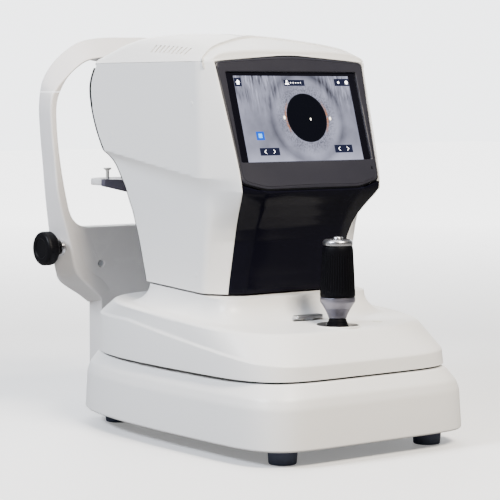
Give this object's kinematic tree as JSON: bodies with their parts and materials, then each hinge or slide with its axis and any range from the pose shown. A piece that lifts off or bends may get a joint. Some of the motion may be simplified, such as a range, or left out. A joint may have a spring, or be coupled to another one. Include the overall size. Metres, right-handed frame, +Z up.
{
  "type": "autorefractor",
  "caption": "Table-top eye-measuring instrument: a base with face and chin rest carries a joystick-driven sliding stage and a measuring head with a tilted screen.",
  "frame": {"origin": "on the table under the middle of the instrument's overall box", "axes": "+Z up, +Y towards the patient, -Y towards the examiner, +X to the examiner's right"},
  "size_m": [0.2831, 0.4784, 0.4275],
  "materials": {
    "white_shell": "fine satin moulded",
    "foot_rubber": "matte",
    "steel": "ground",
    "aluminium": "milled",
    "circuit_board": "solder mask",
    "black_plastic": "satin",
    "black_gloss": "gloss",
    "bezel_plastic": "satin",
    "screen_glass": "polished",
    "lens_glass": "coated",
    "chrome": "polished",
    "satin_metal": "satin turned",
    "grip_rubber": "ribbed matte",
    "brass": "cut",
    "button_plastic": "smooth",
    "paper": "paper",
    "pad_rubber": "soft silicone",
    "grey_plastic": "satin"
  },
  "bodies": {
    "base": {"base_cover": "white_shell", "base_plate": "steel", "feet": "foot_rubber", "rail_supports": "aluminium", "racks": "steel", "y_rods": "steel", "power_supply": "aluminium", "main_board": "circuit_board", "inlet_panel": "black_plastic", "power_inlet": "black_plastic", "face_rest_lower": "white_shell", "face_rest_arch": "white_shell", "face_rest_back": "white_shell", "face_rest_bracket": "steel", "face_rest_screws": "steel", "forehead_rest": "pad_rubber", "knob_bush": "chrome"},
    "rocker": {"power_rocker": "black_plastic"},
    "carriage": {"carriage": "aluminium", "x_rods": "steel"},
    "drive_shaft": {"cross_shaft": "steel", "pinions": "brass"},
    "stage": {"stage_cover": "white_shell", "stage_chassis": "aluminium", "slide_block": "aluminium", "joystick_housing": "black_plastic", "guide_columns": "steel", "lift_motor": "black_plastic", "printer_frame": "black_plastic"},
    "lift_screw": {"lift_screw": "steel"},
    "lock_lever": {"lock_lever": "chrome"},
    "print_button": {"print_button": "button_plastic"},
    "paper_roll": {"paper_roll": "paper"},
    "printer_door": {"printer_door": "white_shell"},
    "gimbal": {"gimbal_ring": "aluminium"},
    "stick": {"joystick_shaft": "steel", "joystick_cone": "satin_metal", "joystick_boot": "grip_rubber"},
    "grip": {"joystick_grip": "grip_rubber", "joystick_cap": "chrome"},
    "trigger": {"trigger_button": "chrome"},
    "head": {"head_left_cover": "white_shell", "head_right_cover": "white_shell", "head_top_cover": "white_shell", "front_panel": "black_gloss", "screen_bezel": "bezel_plastic", "screen_glass": "screen_glass", "display_module": "aluminium", "patient_panel": "black_gloss", "objective_ring": "black_plastic", "objective_lens": "lens_glass", "lens_barrel": "black_plastic", "camera_module": "circuit_board", "head_chassis": "aluminium", "lift_sleeve": "black_plastic"},
    "chin_rest": {"chin_post": "steel", "chin_bracket": "grey_plastic", "chin_cup": "white_shell"},
    "chin_knob": {"chin_knob": "black_plastic"},
    "chin_pins": {"chin_pins": "button_plastic"}
  },
  "joints": [
    {"name": "carriage_slide", "type": "slide", "parent": "base", "child": "carriage", "axis": [0, 1, 0], "range_m": [-0.028, 0.014]},
    {"name": "shaft_roll", "type": "hinge", "parent": "carriage", "child": "drive_shaft", "pos_m": [0, -0.033, 0.101], "axis": [1, 0, 0], "range_deg": [-101, 201]},
    {"name": "stage_slide", "type": "slide", "parent": "carriage", "child": "stage", "axis": [1, 0, 0], "range_m": [-0.04, 0.04]},
    {"name": "head_lift", "type": "slide", "parent": "stage", "child": "head", "axis": [0, 0, 1], "range_m": [0, 0.03]},
    {"name": "lift_screw_turn", "type": "hinge", "parent": "stage", "child": "lift_screw", "pos_m": [0, -0.032, 0.15], "axis": [0, 0, 1], "range_deg": [-1, 1081]},
    {"name": "stick_fore_aft", "type": "hinge", "parent": "stage", "child": "gimbal", "pos_m": [0, -0.172, 0.104], "axis": [1, 0, 0], "range_deg": [-10, 10]},
    {"name": "stick_sideways", "type": "hinge", "parent": "gimbal", "child": "stick", "pos_m": [0, -0.172, 0.104], "axis": [0, 1, 0], "range_deg": [-10, 10]},
    {"name": "grip_turn", "type": "hinge", "parent": "stick", "child": "grip", "pos_m": [0, -0.172, 0.18], "axis": [0, 0, 1], "continuous": true},
    {"name": "trigger_press", "type": "slide", "parent": "grip", "child": "trigger", "axis": [0, 0, 1], "range_m": [-0.002, 0], "stiffness_N_per_m": 500},
    {"name": "print_press", "type": "slide", "parent": "stage", "child": "print_button", "axis": [0, 0, 1], "range_m": [-0.0012, 0], "stiffness_N_per_m": 500},
    {"name": "lock_slide", "type": "slide", "parent": "stage", "child": "lock_lever", "axis": [1, 0, 0], "range_m": [-0.008, 0.008]},
    {"name": "door_hinge", "type": "hinge", "parent": "stage", "child": "printer_door", "pos_m": [0.132, 0, 0.09], "axis": [-0.1219, 0.9925, 0], "range_deg": [0, 85]},
    {"name": "roll_spin", "type": "hinge", "parent": "stage", "child": "paper_roll", "pos_m": [0.1, 0.0285, 0.1125], "axis": [0, 1, 0], "continuous": true},
    {"name": "rocker_tilt", "type": "hinge", "parent": "base", "child": "rocker", "pos_m": [0.11715, 0.08807, 0.04], "axis": [0, 0, 1], "range_deg": [0, 16]},
    {"name": "chin_rest_slide", "type": "slide", "parent": "base", "child": "chin_rest", "axis": [0, 0, 1], "range_m": [-0.03, 0.03]},
    {"name": "chin_knob_turn", "type": "hinge", "parent": "base", "child": "chin_knob", "pos_m": [-0.13, 0.1685, 0.191], "axis": [1, 0, 0], "range_deg": [-287, 287]},
    {"name": "chin_pins_pull", "type": "slide", "parent": "chin_rest", "child": "chin_pins", "axis": [0, 0, 1], "range_m": [0, 0.02]}
  ],
  "couplings": [
    {"joint": "shaft_roll", "follows": "carriage_slide", "rad_per_m": -125},
    {"joint": "lift_screw_turn", "follows": "head_lift", "rad_per_m": 628.32},
    {"joint": "chin_knob_turn", "follows": "chin_rest_slide", "rad_per_m": 166.67}
  ]
}
